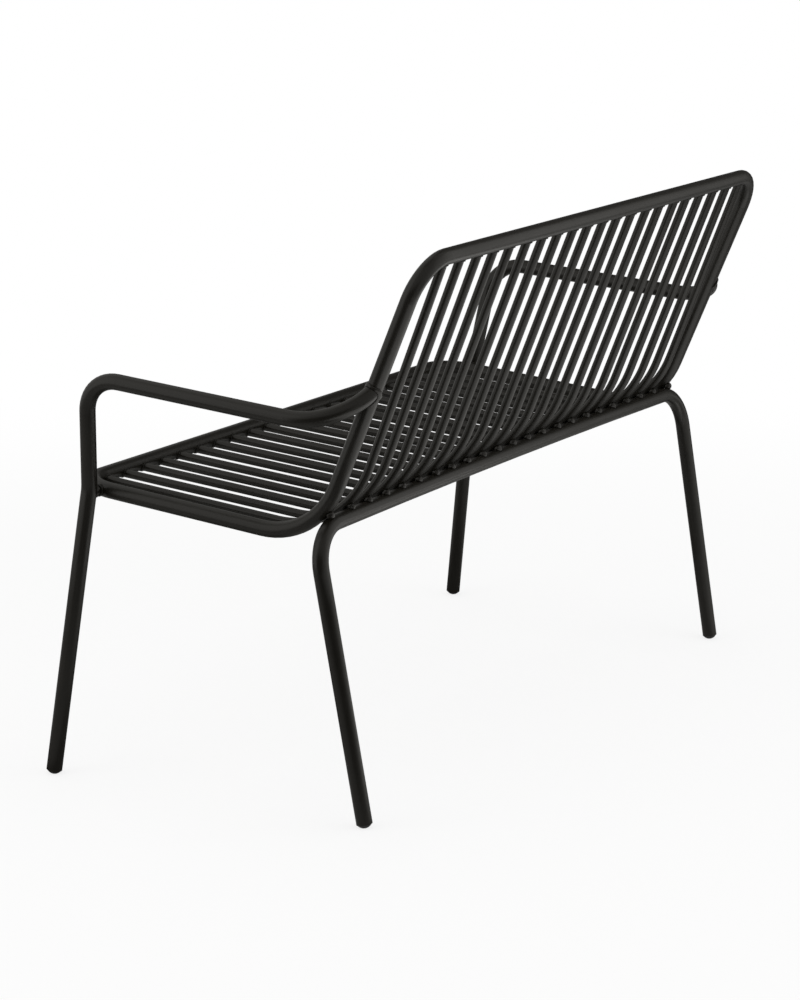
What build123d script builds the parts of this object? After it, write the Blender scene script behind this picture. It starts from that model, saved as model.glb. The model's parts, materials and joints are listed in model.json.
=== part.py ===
"""Welded steel patio loveseat: bent tube frame, round slats, tube arms and foot glides.

Millimetres. +X is the sitter's left, -Y is the front and +Z is up.
The origin is on the floor at the middle of the footprint.
"""

import math
import os

from build123d import *

os.makedirs("parts", exist_ok=True)

# Tube stock
tube_radius = 11.0
tube_wall = 1.5
slat_radius = 6.0
slat_wall = 1.0
joint_gap = 0.1
corner_bend_radius = 55.5

# Seat and back hoop
hoop_half_width = 501.0
front_rail_z = 404.4
seat_depth = 385.9
seat_fall = 32.6
back_rise = 383.0
back_lean = 162.2
hoop_bend_radius = 117.4

# Slats, numbered from the sitter's left, with each one's shift as a share of the pitch
slat_side_gap = 53.2
slat_seat_drop = 3.8
slat_top_set_back = 1.1
slat_bend_radius = 141.7
slat_shift_shares = (
    -0.010, 0.004, -0.022, 0.010, 0.020, -0.028, -0.018,
    -0.002, -0.020, 0.017, -0.008, 0.038, 0.033, -0.029,
    0.020, -0.048, 0.058, 0.034, -0.004, -0.009, 0.000,
)

# Rear leg frame, with the angles below the level at which its rail touches the bends
hoop_contact_angle = 45.8
slat_contact_angle = 49.6
rail_bow = 7.6
rail_bow_share = 0.96
rear_leg_overhang = 38.7
rear_leg_tuck = 9.5
rear_leg_rake = 70.5

# Front legs and arms
spacer_length = 7.6
spacer_radius = 7.0
knee_set_back = 40.5
knee_rise = 4.1
front_leg_flare = 26.5
front_leg_rake = 52.8
arm_post_flare = 28.5
arm_post_lean = 20.8
arm_post_height = 161.7
arm_rear_flare = 8.4
arm_end_height = 211.7
arm_end_advance = 16.4
arm_end_lift = 40.2
arm_front_bend_radius = 55.1
arm_rear_bend_radius = 88.5

# Foot glides
glide_stand_off = 5.3
glide_dome_height = 5.9
glide_base_inset = 0.8
glide_stem_length = 16.0
glide_stem_clearance = 0.15

# Weld beads
slat_bead = 1.5
tube_bead = 2.2
arm_bead = 3.0
rail_bead_radius = 5.6
side_bead_radius = 6.0
bead_lift_angle = 44.0


def unit(vector):
    return vector / vector.length


def at_x(point, x):
    return Vector(x, point.Y, point.Z)


def bent_wire(points, radii):
    """Straight runs joined by round bends, one radius for each inner point."""
    edges = []
    start = points[0]
    for before, corner, after, radius in zip(points, points[1:], points[2:], radii):
        back = unit(before - corner)
        ahead = unit(after - corner)
        half_angle = math.acos(back.dot(ahead)) / 2
        reach = radius / math.tan(half_angle)
        first = corner + back * reach
        last = corner + ahead * reach
        crown = corner + unit(back + ahead) * (radius / math.sin(half_angle) - radius)
        if (first - start).length > joint_gap:
            edges.append(Line(start, first))
        edges.append(ThreePointArc(first, crown, last))
        start = last
    if (points[-1] - start).length > joint_gap:
        edges.append(Line(start, points[-1]))
    return Wire(edges)


def rod(wire, radius):
    start_plane = Plane(origin=wire @ 0, z_dir=wire % 0)
    return sweep(sections=start_plane * Circle(radius), path=wire)


def tube(wire, radius, wall):
    start_plane = Plane(origin=wire @ 0, z_dir=wire % 0)
    ring = Circle(radius) - Circle(radius - wall)
    return sweep(sections=start_plane * ring, path=wire)


def straight_rod(start, end, radius):
    return rod(Wire([Line(start, end)]), radius)


def largest(shape):
    return max(shape.solids(), key=lambda solid: solid.volume)


def save(node, *shapes):
    solids = [solid for shape in shapes for solid in shape.solids()]
    whole = solids[0] if len(solids) == 1 else Compound(children=solids)
    whole.label = node
    export_step(whole, f"parts/{node}.step")


# Front leg line, which sets how far the feet reach in front of the front rail
knee_z = front_rail_z + knee_rise
front_leg_direction = unit(Vector(-front_leg_flare, front_leg_rake, knee_z))
foot_edge = tube_radius * math.sqrt(1 - front_leg_direction.Y**2)
front_reach = front_leg_rake - knee_set_back + foot_edge - front_leg_direction.Y * glide_stand_off
rear_reach = seat_depth + back_lean + tube_radius
front_rail_y = (front_reach - rear_reach) / 2

# Side view of the hoop
front_corner = Vector(0, front_rail_y, front_rail_z)
seat_corner = front_corner + Vector(0, seat_depth, -seat_fall)
top_corner = seat_corner + Vector(0, back_lean, back_rise)
seat_direction = unit(seat_corner - front_corner)
back_direction = unit(top_corner - seat_corner)
seat_underside = Vector(0, seat_direction.Z, -seat_direction.Y)
back_rear = Vector(0, back_direction.Z, -back_direction.Y)
front_rail_end = hoop_half_width - corner_bend_radius
hoop_half_bend = math.acos(seat_direction.dot(back_direction)) / 2
hoop_centre_reach = hoop_bend_radius / math.cos(hoop_half_bend)
hoop_bend_centre = seat_corner + unit(back_direction - seat_direction) * hoop_centre_reach

# Side view of the rear cross rail, which dips, slopes and bows a little where the hoop crosses it
rear_leg_half_width = hoop_half_width + rear_leg_overhang
hoop_angle = math.radians(hoop_contact_angle)
away_from_hoop = Vector(0, math.cos(hoop_angle), -math.sin(hoop_angle))
corner_run = max(0, corner_bend_radius - rear_leg_overhang)
corner_height = math.sqrt(corner_bend_radius**2 - corner_run**2)
corner_dip = (corner_bend_radius - corner_height) * math.sin(hoop_angle)
corner_slope = math.atan2(corner_run * math.sin(hoop_angle), corner_height)
corner_bow = rail_bow * rear_leg_overhang / rear_leg_half_width
axis_distance = (tube_radius * 2 + joint_gap) / math.cos(corner_slope)
hoop_to_rail = hoop_bend_radius + axis_distance + corner_bow - corner_dip
rail_end = hoop_bend_centre + away_from_hoop * hoop_to_rail
rear_foot = Vector(rear_leg_half_width - rear_leg_tuck, rail_end.Y + rear_leg_rake, 0)

# The slats bend around the same rail
slat_angle = math.radians(slat_contact_angle)
away_from_slats = Vector(0, math.cos(slat_angle), -math.sin(slat_angle))
slat_bend_centre = rail_end - away_from_slats * (slat_bend_radius + slat_radius + tube_radius + joint_gap)

# The rail is bowed slightly towards the slats
bow_half_span = rail_bow_share * (rear_leg_half_width - corner_bend_radius)
bow_half_turn = math.atan2(rail_bow, rear_leg_half_width)
bow_radius = bow_half_span / math.tan(bow_half_turn)


def bow_at(x):
    """How far the bowed rail and the slats on it sit towards the sitter."""
    crown = rail_bow - bow_radius * (1 / math.cos(bow_half_turn) - 1)
    if abs(x) > bow_half_span * math.cos(bow_half_turn):
        return rail_bow * (1 - abs(x) / rear_leg_half_width)
    return crown - bow_radius + math.sqrt(bow_radius**2 - x**2)


def rail_centre(x):
    return at_x(rail_end - away_from_slats * bow_at(x), x)


def hoop_wire():
    left = [
        at_x(front_corner, front_rail_end),
        at_x(front_corner, hoop_half_width),
        at_x(seat_corner, hoop_half_width),
        at_x(top_corner, hoop_half_width),
    ]
    right = [at_x(point, -point.X) for point in reversed(left)]
    left_bends = [corner_bend_radius, hoop_bend_radius, corner_bend_radius]
    return bent_wire(left + right, left_bends + left_bends[::-1])


def rear_frame_wire():
    corner = at_x(rail_end, rear_leg_half_width)
    left = [rear_foot + unit(corner - rear_foot) * glide_stand_off, corner]
    middle = rail_end - away_from_slats * rail_bow
    right = [at_x(point, -point.X) for point in reversed(left)]
    bends = [corner_bend_radius, bow_radius, corner_bend_radius]
    return bent_wire(left + [middle] + right, bends)


def arm_points(side):
    """Foot, knee, front and rear corners of the arm, and its end on the back side of the hoop."""
    knee = Vector(hoop_half_width + tube_radius * 2 + spacer_length, front_rail_y + knee_set_back, knee_z)
    foot = knee + Vector(front_leg_flare, -front_leg_rake, -knee_z)
    arm_front = knee + Vector(arm_post_flare, arm_post_lean, arm_post_height)
    arm_end = at_x(seat_corner + back_direction * (arm_end_height / back_direction.Z), hoop_half_width)
    arm_rear = at_x(arm_end - Vector(0, arm_end_advance, arm_end_lift), arm_front.X + arm_rear_flare)
    return [Vector(side * point.X, point.Y, point.Z) for point in (foot, knee, arm_front, arm_rear, arm_end)]


def arm_wire(side):
    points = arm_points(side)
    points[0] = points[0] + unit(points[1] - points[0]) * glide_stand_off
    bends = [corner_bend_radius, arm_front_bend_radius, arm_rear_bend_radius]
    return bent_wire(points, bends)


def tangent_point(point, centre, radius, turn):
    """Where a straight run from the point touches the bend circle in the side view."""
    to_point = point - centre
    angle = math.atan2(to_point.Z, to_point.Y) + turn * math.acos(radius / to_point.length)
    return centre + Vector(0, math.cos(angle), math.sin(angle)) * radius


def slat_wire(x):
    centre = slat_bend_centre - away_from_slats * bow_at(x)
    front = front_corner + seat_underside * slat_seat_drop
    top = top_corner + back_rear * slat_top_set_back
    first = tangent_point(front, centre, slat_bend_radius, 1)
    last = tangent_point(top, centre, slat_bend_radius, -1)
    crown = centre + unit(first + last - centre * 2) * slat_bend_radius
    bend = ThreePointArc(at_x(first, x), at_x(crown, x), at_x(last, x))
    return Wire([Line(at_x(front, x), at_x(first, x)), bend, Line(at_x(last, x), at_x(top, x))])


def beside_corner_bend(x):
    """The outermost slats reach the start of the hoop's corner bends."""
    return abs(x) > front_rail_end - slat_radius - slat_bead


def slat_places():
    """Number and sideways place of each slat."""
    gaps = len(slat_shift_shares) - 1
    slat_pitch = (hoop_half_width - slat_side_gap) * 2 / gaps
    for index, share in enumerate(slat_shift_shares):
        yield index + 1, (gaps / 2 - index + share) * slat_pitch


def ring_bead(slat_end, slat_run, rail_axis_point):
    """A bead around a slat where it meets a rail that runs along X."""
    reach = tube_radius + slat_radius
    outer = straight_rod(slat_end, slat_end + slat_run * reach, slat_radius + slat_bead)
    core = straight_rod(slat_end, slat_end + slat_run * reach, slat_radius + joint_gap)
    half_length = Vector(tube_radius, 0, 0)
    start = rail_axis_point - half_length
    end = rail_axis_point + half_length
    band = straight_rod(start, end, tube_radius + slat_bead)
    ring = (outer & band) - core - straight_rod(start, end, tube_radius + joint_gap)
    return ring - hoop_envelope if beside_corner_bend(rail_axis_point.X) else ring


def lump_bead(x, radius, crossing_tube, rail):
    """A weld lump in the groove above the rear rail, where a tube crosses it."""
    lift = math.radians(slat_contact_angle + bead_lift_angle)
    outward = Vector(0, -math.cos(lift), math.sin(lift))
    lump = Pos(rail_centre(x) + outward * (tube_radius + slat_bead)) * Sphere(radius)
    return largest(lump - crossing_tube - rail)


def foot_glide(foot, leg_corner):
    """Domed plug under a tube end, with a stem inside and a small flat on the floor."""
    base_radius = tube_radius - glide_base_inset
    dome_radius = (base_radius**2 + glide_dome_height**2) / (glide_dome_height * 2)
    stem_radius = tube_radius - tube_wall - glide_stem_clearance
    tip = (0, glide_stand_off - glide_dome_height)
    stem_top = glide_stand_off + glide_stem_length
    outline = Polyline(
        tip,
        (0, stem_top),
        (stem_radius, stem_top),
        (stem_radius, glide_stand_off),
        (base_radius, glide_stand_off),
    )
    dome = RadiusArc((base_radius, glide_stand_off), tip, dome_radius)
    plug = revolve(Plane.XZ * make_face([outline, dome]), Axis.Z)
    leg_plane = Plane(origin=foot, z_dir=unit(leg_corner - foot))
    ground = Pos(foot) * Cylinder(
        tube_radius * 2, tube_radius * 2, align=(Align.CENTER, Align.CENTER, Align.MAX)
    )
    return leg_plane * plug - ground


# Envelopes of the tubes, used to shape the ends that meet them
hoop_envelope = rod(hoop_wire(), tube_radius + joint_gap)
rear_frame_envelope = rod(rear_frame_wire(), tube_radius + joint_gap)
rail_half = Vector(front_rail_end, 0, 0)
front_rail_wire = Wire([Line(front_corner - rail_half, front_corner + rail_half)])
front_rail_envelope = rod(front_rail_wire, tube_radius + joint_gap)
top_rail_wire = Wire([Line(top_corner - rail_half, top_corner + rail_half)])
top_rail_envelope = rod(top_rail_wire, tube_radius + joint_gap)


def build_frame():
    save("seat_back_hoop", tube(hoop_wire(), tube_radius, tube_wall))
    save("front_rail", tube(front_rail_wire, tube_radius, tube_wall))
    save("rear_leg_frame", tube(rear_frame_wire(), tube_radius, tube_wall))


def arm_and_leg(side):
    return largest(tube(arm_wire(side), tube_radius, tube_wall) - hoop_envelope)


def arm_end_bead(side, envelope):
    """Bead where the arm end meets the back side of the hoop."""
    wire = arm_wire(side)
    arm_end = arm_points(side)[-1]
    back_reach = back_direction * tube_radius * 2
    band = straight_rod(arm_end - back_reach, arm_end + back_reach, tube_radius + tube_bead)
    hoop_here = straight_rod(arm_end - back_reach * 2, arm_end + back_reach * 2, tube_radius + joint_gap)
    collar_start = wire @ 1
    collar_end = collar_start - (wire % 1) * tube_radius * 2
    collar = straight_rod(collar_start, collar_end, tube_radius + arm_bead)
    return largest((collar & band) - envelope - hoop_here)


def spacer_ends(side):
    """Axis points of the knee spacer, in the seat side of the hoop and in the leg tube."""
    seat_side = front_corner + seat_direction * (knee_set_back / seat_direction.Y)
    return at_x(seat_side, side * hoop_half_width), at_x(seat_side, arm_points(side)[1].X)


def knee_spacer(side, envelope):
    """Spacer between the knee of the leg tube and the seat side of the hoop."""
    inner, outer = spacer_ends(side)
    spacer = straight_rod(inner, outer, spacer_radius) - hoop_envelope - envelope
    return min(spacer.solids(), key=lambda solid: (solid.center() - (inner + outer) / 2).length)


def spacer_beads(side, envelope):
    """Beads around both ends of the knee spacer."""
    inner, outer = spacer_ends(side)
    foot, knee = arm_points(side)[:2]
    wide = straight_rod(inner, outer, spacer_radius + tube_bead)
    core = straight_rod(inner, outer, spacer_radius + joint_gap)
    beads = []
    for place, direction in ((inner, seat_direction), (outer, unit(knee - foot))):
        reach = direction * tube_radius * 2
        around = straight_rod(place - reach, place + reach, tube_radius + tube_bead)
        beads.append(largest((wide & around) - core - hoop_envelope - envelope))
    return beads


def build_arms():
    end_beads = []
    knee_beads = []
    for name, side in (("left", 1), ("right", -1)):
        envelope = rod(arm_wire(side), tube_radius + joint_gap)
        save(f"{name}_arm_and_front_leg", arm_and_leg(side))
        save(f"{name}_knee_spacer", knee_spacer(side, envelope))
        end_beads.append(arm_end_bead(side, envelope))
        knee_beads += spacer_beads(side, envelope)
    save("welds_arm_ends", *end_beads)
    save("welds_knee_spacers", *knee_beads)


def slat(wire, x):
    """Slat cut to the rails, and to the hoop where the outermost ones reach its corner bends."""
    whole = tube(wire, slat_radius, slat_wall) - front_rail_envelope - top_rail_envelope
    if beside_corner_bend(x):
        whole = whole - hoop_envelope
    return largest(whole)


def rear_rail_bead(wire, x):
    """Weld lump of a slat on the rear rail."""
    reach = rail_bead_radius * 2
    rail_here = straight_rod(rail_centre(x + reach), rail_centre(x - reach), tube_radius + joint_gap)
    return lump_bead(x, rail_bead_radius, rod(wire, slat_radius + joint_gap), rail_here)


def build_slats():
    front_beads = []
    top_beads = []
    rail_beads = []
    for number, x in slat_places():
        wire = slat_wire(x)
        save(f"slat_{number:02d}", slat(wire, x))
        front_beads.append(ring_bead(wire @ 0, wire % 0, at_x(front_corner, x)))
        top_beads.append(ring_bead(wire @ 1, -(wire % 1), at_x(top_corner, x)))
        rail_beads.append(rear_rail_bead(wire, x))
    save("welds_slats_front_rail", *front_beads)
    save("welds_slats_top_rail", *top_beads)
    save("welds_slats_rear_rail", *rail_beads)


def build_side_beads():
    """Weld lumps where the hoop lies on the rear rail."""
    beads = []
    for side in (1, -1):
        x = side * hoop_half_width
        beads.append(lump_bead(x, side_bead_radius, hoop_envelope, rear_frame_envelope))
    save("welds_hoop_rear_frame", *beads)


def build_glides():
    for name, side in (("left", 1), ("right", -1)):
        foot, knee = arm_points(side)[:2]
        save(f"front_{name}_foot_glide", foot_glide(foot, knee))
        foot = at_x(rear_foot, side * rear_foot.X)
        corner = at_x(rail_end, side * rear_leg_half_width)
        save(f"rear_{name}_foot_glide", foot_glide(foot, corner))


build_frame()
build_arms()
build_slats()
build_side_beads()
build_glides()
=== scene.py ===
"""Looks of the patio loveseat: a welded steel frame in a satin, near-black powder coat.

Metres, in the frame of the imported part: +X is the sitter's left, -Y the front and +Z up.
"""

import json
import math

import bpy
from mathutils import Matrix, Vector, noise


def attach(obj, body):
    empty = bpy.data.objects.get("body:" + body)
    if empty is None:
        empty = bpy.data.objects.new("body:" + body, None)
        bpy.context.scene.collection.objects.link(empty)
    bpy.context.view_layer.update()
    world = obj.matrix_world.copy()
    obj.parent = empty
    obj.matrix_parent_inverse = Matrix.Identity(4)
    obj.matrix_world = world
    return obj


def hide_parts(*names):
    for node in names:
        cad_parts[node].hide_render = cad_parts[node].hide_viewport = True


mm = 0.001
white = (1, 1, 1, 1)

# Camera of the photograph
camera_place = Vector((3893.1, 2265.5, 1384.8)) * mm
camera_yaw = math.radians(30.77)
camera_pitch = math.radians(13.418)
camera_roll = math.radians(0.03)
camera_lens = 113.33
camera_sensor = 36.0

# Powder coat: two shades and two roughnesses that change in soft patches, orange peel and fine grain
coat_colour = (0.0058, 0.0049, 0.0031)
coat_light_colour = (0.0072, 0.0062, 0.0042)
coat_roughness = (0.31, 0.37)
coat_specular = 0.4
coat_patch_size = 90 * mm
coat_patch_detail = 3
coat_patch_range = (0.35, 0.65)
coat_peel_size = 2.6 * mm
coat_peel_detail = 1
coat_peel_depth = 0.02 * mm
coat_grain_size = 0.35 * mm
coat_grain_detail = 2
coat_grain_roughness = 0.6
coat_grain_depth = 0.012 * mm

# Glide plastic
glide_colour = (0.009, 0.009, 0.009)
glide_light_colour = (0.0135, 0.0135, 0.0135)
glide_roughness = 0.5
glide_shade_size = 7.2 * mm
glide_grain_size = 0.6 * mm
glide_grain_depth = 0.02 * mm
glide_detail = 2

# Weld beads: rounds of smoothing, lump size and lump depth of each node's beads, which swell a little
weld_voxel = 0.5 * mm
weld_swell = 0.15 * mm
weld_lumps = {
    "welds_slats_rear_rail": (4, 3.6 * mm, 0.7 * mm),
    "welds_hoop_rear_frame": (10, 5.0 * mm, 0.4 * mm),
    "welds_slats_front_rail": (4, 2.4 * mm, 0.25 * mm),
    "welds_slats_top_rail": (4, 2.4 * mm, 0.25 * mm),
    "welds_arm_ends": (24, 3.0 * mm, 0.12 * mm),
    "welds_knee_spacers": (8, 3.0 * mm, 0.2 * mm),
}

# Studio floor, which fades to plain white away from the object
floor_colour = (0.86, 0.86, 0.855, 1)
floor_half_size = 12.0
floor_glow_share = 0.8
floor_fade_start = 0.9
floor_fade_end = 2.4

# World light, and soft lamps given by bearing from the camera, tilt, distance, width, height and radiance
world_light = 0.75
lamps = {
    "lamp_right": (72, 22, 3.0, 2.6, 2.2, 1.1),
    "lamp_left": (-62, 22, 3.0, 1.6, 2.2, 1.2),
    "lamp_top": (0, 90, 2.8, 2.4, 2.4, 0.9),
}

# Grey glowing sheets that only reflections see, facing the object, which paint the studio's light and
# dark in the reflections on the coat: first and last bearing from the camera, lowest and highest tilt,
# distance and brightness, where white is one
painted_reflection_panels = {
    "panel_low": (-110, 60, -16, -9, 1.6, 0.14),
    "panel_camera_low": (-41, 42, -14, -3, 1.35, 0.05),
    "panel_camera_right": (14, 52, -3, 22, 1.5, 0.44),
    "panel_camera": (-41, 14, -12, 18, 1.4, 0.03),
    "panel_camera_upper": (-40, 52, -20, 60, 2.2, 0.4),
    "panel_left_near": (-84, -40, -20, 52, 2.2, 0.9),
    "panel_left_far": (-150, -84, -26, 45, 2.2, 0.52),
    "panel_right_near": (52, 78, -26, 50, 2.2, 0.72),
    "panel_right": (78, 124, -26, 50, 2.2, 0.84),
    "panel_far_right": (124, 180, -26, 90, 2.2, 0.1),
    "panel_far_end": (-180, -150, -26, 90, 2.2, 0.3),
    "panel_ceiling_left": (-150, -50, 45, 90, 2.1, 0.58),
    "panel_ceiling_front": (-50, 40, 60, 90, 2.2, 0.18),
    "panel_ceiling_right": (40, 124, 50, 90, 2.2, 0.45),
}
panel_steps = 8
# Warm tint of the painted reflections
painted_reflection_colour = (1, 0.985, 0.95, 1)
aim = Vector((0, 0, 400)) * mm

# Sheets that only reflections from above see, which paint the reflected floor: dark ones paint reflected
# shade under and around the object, bright ones a glowing painted reflection behind and under it: first
# and last X and Y, height and brightness
painted_floor_reflections = {
    "painted_floor_reflection": (-3.0, 3.0, -3.0, 3.0, 0.0005, 0.34),
    "painted_shade_under": (-0.62, 0.62, -0.5, -0.05, 0.001, 0.1),
    "painted_glow_behind": (-0.75, 0.45, 0.39, 0.7, 0.001, 1.4),
    "painted_glow_raised": (-0.5, 0.88, 0.34, 0.76, 0.3, 1.36),
    "painted_dark_camera_side": (0.66, 1.9, 0.3, 1.9, 0.001, 0.1),
}

# Sockets of the mix node that belong to colours, by their place in its lists
mix_share_input = 0
mix_first_input = 6
mix_second_input = 7
mix_colour_output = 2


class Nodes:
    """The node tree of one material or world, with one short call for each kind of node."""

    def __init__(self, owner):
        owner.use_nodes = True
        owner.node_tree.nodes.clear()
        self.owner = owner
        self.tree = owner.node_tree

    def node(self, kind, inputs=None, **settings):
        made = self.tree.nodes.new(kind)
        for key, value in settings.items():
            setattr(made, key, value)
        for key, value in (inputs or {}).items():
            if isinstance(value, bpy.types.NodeSocket):
                self.tree.links.new(value, made.inputs[key])
            else:
                made.inputs[key].default_value = value
        return made

    def place(self):
        return self.node("ShaderNodeTexCoord").outputs["Object"]

    def noise(self, size, detail, roughness=0.5):
        """Noise of the given feature size, in metres."""
        inputs = {"Vector": self.place(), "Scale": 1 / size, "Detail": detail, "Roughness": roughness}
        return self.node("ShaderNodeTexNoise", inputs).outputs["Fac"]

    def remap(self, value, given, wanted, curve="LINEAR"):
        """A value moved from the given range to the wanted one."""
        inputs = {
            "Value": value,
            "From Min": given[0],
            "From Max": given[1],
            "To Min": wanted[0],
            "To Max": wanted[1],
        }
        return self.node("ShaderNodeMapRange", inputs, interpolation_type=curve).outputs["Result"]

    def math(self, operation, first, second):
        return self.node("ShaderNodeMath", {0: first, 1: second}, operation=operation).outputs[0]

    def blend(self, share, first, second):
        """A colour between two plain colours."""
        inputs = {mix_share_input: share, mix_first_input: (*first, 1), mix_second_input: (*second, 1)}
        return self.node("ShaderNodeMix", inputs, data_type="RGBA").outputs[mix_colour_output]

    def bump(self, height, depth, under=None):
        inputs = {"Height": height, "Distance": depth, "Strength": 1.0}
        if under is not None:
            inputs["Normal"] = under
        return self.node("ShaderNodeBump", inputs).outputs["Normal"]

    def principled(self, **inputs):
        named = {key.replace("_", " "): value for key, value in inputs.items()}
        return self.node("ShaderNodeBsdfPrincipled", named).outputs["BSDF"]

    def emission(self, colour, strength):
        return self.node("ShaderNodeEmission", {"Color": colour, "Strength": strength}).outputs[0]

    def background(self, strength):
        return self.node("ShaderNodeBackground", {"Color": white, "Strength": strength}).outputs[0]

    def mixed(self, share, first, second):
        """One shader where the share is zero, the other where it is one."""
        return self.node("ShaderNodeMixShader", {0: share, 1: first, 2: second}).outputs[0]

    def backdrop_ray(self):
        """One for rays that show the backdrop: straight to the camera, reflected or through glass."""
        path = self.node("ShaderNodeLightPath").outputs
        seen = self.math("MAXIMUM", path["Is Camera Ray"], path["Is Glossy Ray"])
        return self.math("MAXIMUM", seen, path["Is Transmission Ray"])

    def finish(self, shader, output="ShaderNodeOutputMaterial"):
        self.node(output, {"Surface": shader})
        return self.owner


def new_paint(name):
    return Nodes(bpy.data.materials.new(name))


def powder_coat():
    coat = new_paint("powder_coat")
    patches = coat.noise(coat_patch_size, coat_patch_detail)
    peel = coat.noise(coat_peel_size, coat_peel_detail)
    grain = coat.noise(coat_grain_size, coat_grain_detail, coat_grain_roughness)
    patch_share = coat.remap(patches, coat_patch_range, (0, 1))
    normal = coat.bump(peel, coat_peel_depth)
    shader = coat.principled(
        Base_Color=coat.blend(patch_share, coat_colour, coat_light_colour),
        Roughness=coat.remap(patches, coat_patch_range, coat_roughness),
        Normal=coat.bump(grain, coat_grain_depth, normal),
        Specular_IOR_Level=coat_specular,
    )
    return coat.finish(shader)


def glide_plastic():
    plastic = new_paint("glide_plastic")
    shade = plastic.noise(glide_shade_size, glide_detail)
    grain = plastic.noise(glide_grain_size, glide_detail)
    shader = plastic.principled(
        Base_Color=plastic.blend(shade, glide_colour, glide_light_colour),
        Roughness=glide_roughness,
        Normal=plastic.bump(grain, glide_grain_depth),
    )
    return plastic.finish(shader)


def floor_paint():
    """Pale paint that keeps the soft shadow near the object and is plain white further out."""
    paint = new_paint("studio_floor")
    plain = paint.node("ShaderNodeBsdfDiffuse", {"Color": floor_colour}).outputs[0]
    glow = paint.emission(white, 1.0)
    distance = paint.node("ShaderNodeVectorMath", {0: paint.place()}, operation="LENGTH").outputs["Value"]
    fade = (floor_fade_start, floor_fade_end)
    glow_share = paint.remap(distance, fade, (floor_glow_share, 1), "SMOOTHSTEP")
    share = paint.math("MULTIPLY", paint.backdrop_ray(), glow_share)
    return paint.finish(paint.mixed(share, plain, glow))


def one_sided_glow(name, brightness):
    """Plain light on the front of a sheet, which is clear from behind."""
    paint = new_paint(name)
    clear = paint.node("ShaderNodeBsdfTransparent").outputs[0]
    from_behind = paint.node("ShaderNodeNewGeometry").outputs["Backfacing"]
    return paint.finish(paint.mixed(from_behind, paint.emission(painted_reflection_colour, brightness), clear))


def placed(name, mesh):
    made = bpy.data.objects.new(name, mesh)
    bpy.context.scene.collection.objects.link(made)
    return made


def staged(name, mesh, material):
    mesh.materials.append(material)
    made = placed(name, mesh)
    return made


def level_sheet(name, x_range, y_range, height):
    """A level sheet that faces up."""
    left, right = x_range
    front, back = y_range
    outline = ((left, front), (right, front), (right, back), (left, back))
    mesh = bpy.data.meshes.new(name)
    mesh.from_pydata([(x, y, height) for x, y in outline], [], [(0, 1, 2, 3)])
    return mesh


def steps(first, last):
    return [first + (last - first) * step / panel_steps for step in range(panel_steps + 1)]


def around(bearing, tilt, distance):
    """A place given by its bearing to the right of the camera and its tilt above the aim point."""
    turn = camera_yaw + math.radians(bearing)
    lift = math.radians(tilt)
    flat = math.cos(lift)
    return aim + Vector((math.cos(turn) * flat, math.sin(turn) * flat, math.sin(lift))) * distance


def dome_patch(name, bearings, tilts, distance):
    """A patch of a sphere round the aim point, which it faces."""
    points = [around(bearing, tilt, distance) for tilt in steps(*tilts) for bearing in steps(*bearings)]
    width = panel_steps + 1
    starts = [row * width + column for row in range(panel_steps) for column in range(panel_steps)]
    faces = [(start, start + width, start + width + 1, start + 1) for start in starts]
    mesh = bpy.data.meshes.new(name)
    mesh.from_pydata(points, [], faces)
    return mesh


def reflected_only(name, mesh, brightness):
    """A sheet of plain brightness that nothing but reflections sees, which paints a reflection on the
    object.
    """
    sheet = staged(name, mesh, one_sided_glow(name, brightness))
    sheet.visible_camera = False
    sheet.visible_diffuse = False
    sheet.visible_transmission = False
    sheet.visible_shadow = False


def dress_nodes(frame):
    """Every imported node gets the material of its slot."""
    made = {"powder_coat": powder_coat(), "glide_plastic": glide_plastic()}
    slots = {part["node"]: part["material_slot"] for part in frame["record"]["subparts"]}
    for name, piece in frame["nodes"].items():
        piece.data.materials.clear()
        piece.data.materials.append(made[slots[name]])


def fine_mesh(node, rounds):
    """A node's mesh rebuilt in even small faces and smoothed."""
    rough = placed(f"{node.name}_rough", node.data.copy())
    remesh = rough.modifiers.new("voxels", "REMESH")
    remesh.mode = "VOXEL"
    remesh.voxel_size = weld_voxel
    smooth = rough.modifiers.new("smooth", "SMOOTH")
    smooth.iterations = rounds
    shaped = rough.evaluated_get(bpy.context.evaluated_depsgraph_get())
    mesh = bpy.data.meshes.new_from_object(shaped)
    bpy.data.objects.remove(rough)
    return mesh


def weld_beads(node):
    """A finer, slightly lumpy copy of a node of weld beads, which stands for it."""
    rounds, size, depth = weld_lumps[node.name]
    mesh = fine_mesh(node, rounds)
    mesh.name = f"{node.name}_beads"
    normals = [vertex.normal.copy() for vertex in mesh.vertices]
    for vertex, normal in zip(mesh.vertices, normals):
        swell = weld_swell + noise.noise(vertex.co / size) * depth
        vertex.co += normal * swell
    mesh.shade_smooth()
    beads = placed(mesh.name, mesh)
    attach(beads, "root")
    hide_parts(node.name)


def build_floor():
    across = (-floor_half_size, floor_half_size)
    staged("studio_floor", level_sheet("studio_floor", across, across, 0), floor_paint())


def build_world():
    """White where it is seen or reflected, and a plain level of light elsewhere."""
    world = bpy.data.worlds.new("studio_world")
    bpy.context.scene.world = world
    sky = Nodes(world)
    shader = sky.mixed(sky.backdrop_ray(), sky.background(world_light), sky.background(1.0))
    sky.finish(shader, "ShaderNodeOutputWorld")


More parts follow.
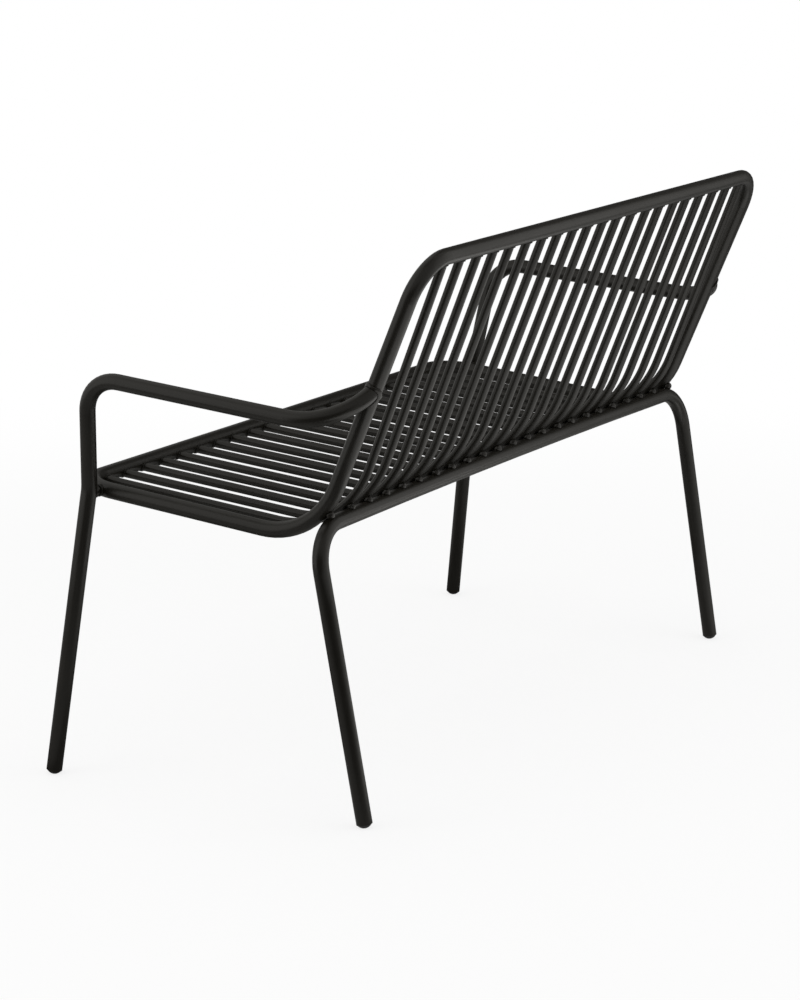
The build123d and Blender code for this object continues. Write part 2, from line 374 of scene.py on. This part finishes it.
def build_lamps():
    for name, (bearing, tilt, distance, width, height, radiance) in lamps.items():
        light = bpy.data.lights.new(name, "AREA")
        light.shape = "RECTANGLE"
        light.size = width
        light.size_y = height
        light.energy = radiance * width * height * math.pi
        lamp = placed(name, light)
        lamp.location = around(bearing, tilt, distance)
        lamp.rotation_euler = (aim - lamp.location).to_track_quat("-Z", "Y").to_euler()
        lamp.visible_camera = False
        lamp.visible_glossy = False


# Sheets that paint reflections, and reflected shade, on the object
def build_reflections():
    for name, (first, last, low, high, distance, brightness) in painted_reflection_panels.items():
        reflected_only(name, dome_patch(name, (first, last), (low, high), distance), brightness)
    for name, (left, right, front, back, height, brightness) in painted_floor_reflections.items():
        reflected_only(name, level_sheet(name, (left, right), (front, back), height), brightness)


def build_camera():
    forward = Vector(
        (
            -math.cos(camera_yaw) * math.cos(camera_pitch),
            -math.sin(camera_yaw) * math.cos(camera_pitch),
            -math.sin(camera_pitch),
        )
    )
    level_right = forward.cross(Vector((0, 0, 1))).normalized()
    level_up = level_right.cross(forward)
    right = level_right * math.cos(camera_roll) + level_up * math.sin(camera_roll)
    up = level_up * math.cos(camera_roll) - level_right * math.sin(camera_roll)
    data = bpy.data.cameras.new("camera")
    data.lens = camera_lens
    data.sensor_width = camera_sensor
    camera = placed("camera", data)
    turn = Matrix((right, up, -forward)).transposed().to_4x4()
    camera.matrix_world = Matrix.Translation(camera_place) @ turn
    bpy.context.scene.camera = camera


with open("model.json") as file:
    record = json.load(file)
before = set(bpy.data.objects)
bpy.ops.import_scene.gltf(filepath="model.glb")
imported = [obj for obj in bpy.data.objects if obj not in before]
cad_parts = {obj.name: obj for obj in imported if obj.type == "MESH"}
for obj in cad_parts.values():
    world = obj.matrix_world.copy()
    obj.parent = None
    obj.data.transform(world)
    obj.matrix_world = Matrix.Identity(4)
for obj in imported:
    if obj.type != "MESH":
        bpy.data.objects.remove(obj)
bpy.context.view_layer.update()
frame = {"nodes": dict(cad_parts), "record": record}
bpy.context.scene.view_settings.view_transform = "Standard"
dress_nodes(frame)
for weld_node in weld_lumps:
    weld_beads(frame["nodes"][weld_node])
build_floor()
build_world()
build_lamps()
build_reflections()
build_camera()
